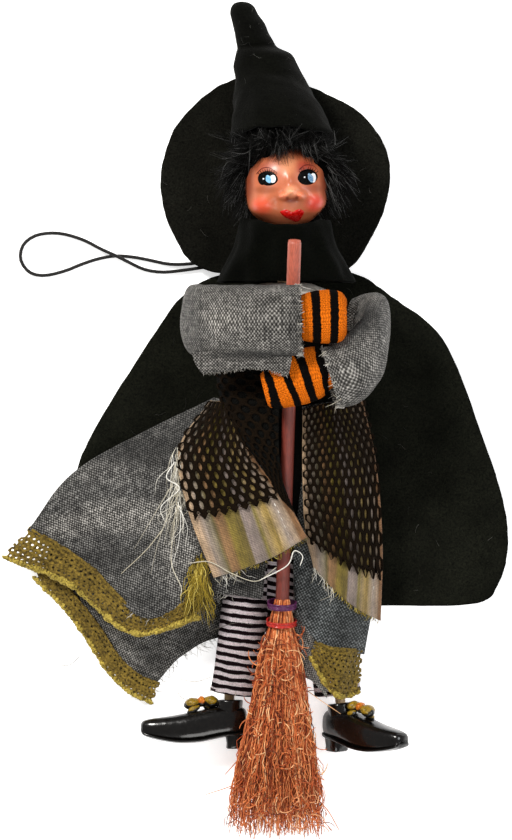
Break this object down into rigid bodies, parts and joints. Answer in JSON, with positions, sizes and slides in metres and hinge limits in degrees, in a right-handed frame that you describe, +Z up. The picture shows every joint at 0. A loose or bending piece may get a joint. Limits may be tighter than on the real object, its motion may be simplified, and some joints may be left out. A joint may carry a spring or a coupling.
{
  "type": "animated witch figure",
  "caption": "Cloth-dressed witch doll in a felt hat and cape, holding a fibre broom in wired arms, with turning head, swinging legs and an elastic hanging loop.",
  "frame": {"origin": "middle of the space the doll covers, on the surface she lies on; the hanging loop is not counted", "axes": "+Z up out of the surface she lies on, which is her front; +Y towards the tip of her hat; +X to the right of somebody looking down at her, which is her own left"},
  "size_m": [0.1501, 0.2484, 0.0503],
  "materials": {
    "skin": "painted glossy vinyl",
    "hair": "black and grey fur, in spiky tufts",
    "felt": "matt black felt",
    "burlap": "grey coarse weave, frayed at the hem",
    "bodice_cloth": "dark coarse weave",
    "lace": "olive-yellow cotton lace with eyelets",
    "ribbon": "tan, olive and grey striped ribbon cloth",
    "net": "dark brown net with oval holes",
    "knit": "orange and black striped knit",
    "striped": "dark and pale striped jersey",
    "shoe_plastic": "glossy black moulding",
    "bow_paint": "olive and orange painted moulding",
    "stick_wood": "red-brown painted dowel",
    "fibre": "wavy orange-brown plant fibre",
    "tie_wire": "red and purple wire",
    "steel": "bent wire",
    "pale_wood": "bare dowel",
    "stuffing": "stuffed cloth",
    "elastic": "thin black elastic cord"
  },
  "bodies": {
    "torso": {"torso_core": "stuffing", "dress_bodice": "bodice_cloth", "neck_peg": "pale_wood", "cape": "felt", "cape_collar": "felt", "skirt_back": "burlap", "skirt_front_right": "burlap", "skirt_lace_back": "lace", "skirt_lace_right": "lace", "apron_ribbon_right": "ribbon", "apron_net_right": "net", "hanging_loop": "elastic", "loop_knot": "elastic"},
    "head_group": {"head": "skin", "hair": "hair", "hat_crown": "felt", "hat_brim": "felt"},
    "arm_right": {"sleeve_right": "burlap", "glove_right": "knit", "arm_wire_right": "steel"},
    "arm_left": {"sleeve_left": "burlap", "glove_left": "knit", "arm_wire_left": "steel"},
    "broom": {"broom_stick": "stick_wood", "broom_bristles": "fibre", "broom_tie_upper": "tie_wire", "broom_tie_lower": "tie_wire"},
    "leg_right": {"legging_right": "striped", "leg_dowel_right": "pale_wood"},
    "leg_left": {"legging_left": "striped", "leg_dowel_left": "pale_wood", "skirt_front_left": "burlap", "skirt_lace_left": "lace", "apron_ribbon_left": "ribbon", "apron_net_left": "net"},
    "foot_right": {"shoe_right": "shoe_plastic", "shoe_bow_right": "bow_paint"},
    "foot_left": {"shoe_left": "shoe_plastic", "shoe_bow_left": "bow_paint"}
  },
  "joints": [
    {"name": "head_turn", "type": "hinge", "parent": "torso", "child": "head_group", "pos_m": [0.0088, 0.057, 0.0175], "axis": [0, 1, 0], "range_deg": [-25, 25], "deforming": ["hat_brim"]},
    {"name": "arm_right_lift", "type": "hinge", "parent": "torso", "child": "arm_right", "pos_m": [-0.01, 0.031, 0.017], "axis": [-1, 0, 0], "range_deg": [0, 20], "deforming": ["apron_ribbon_right", "apron_net_right"]},
    {"name": "arm_left_lift", "type": "hinge", "parent": "torso", "child": "arm_left", "pos_m": [0.0276, 0.031, 0.017], "axis": [-1, 0, 0], "range_deg": [0, 20]},
    {"name": "broom_slide", "type": "slide", "parent": "arm_right", "child": "broom", "axis": [0.0325, 0.9749, 0.2202], "range_m": [0, 0.008]},
    {"name": "hip_right", "type": "hinge", "parent": "torso", "child": "leg_right", "pos_m": [-0.004, -0.025, 0.0105], "axis": [0, 0, -1], "range_deg": [0, 20]},
    {"name": "hip_left", "type": "hinge", "parent": "torso", "child": "leg_left", "pos_m": [0.0155, -0.025, 0.0105], "axis": [0, 0, 1], "range_deg": [0, 20], "deforming": ["skirt_front_left", "skirt_lace_left", "apron_ribbon_left", "apron_net_left"]},
    {"name": "shoe_swivel_right", "type": "hinge", "parent": "leg_right", "child": "foot_right", "pos_m": [-0.0079, -0.0843, 0.0052], "axis": [0, 1, 0], "range_deg": [0, 70]},
    {"name": "shoe_swivel_left", "type": "hinge", "parent": "leg_left", "child": "foot_left", "pos_m": [0.0252, -0.0852, 0.00685], "axis": [0.1045, -0.9945, 0], "range_deg": [-44, 44]}
  ],
  "couplings": [
    {"joint": "arm_left_lift", "follows": "arm_right_lift", "ratio": 1}
  ]
}
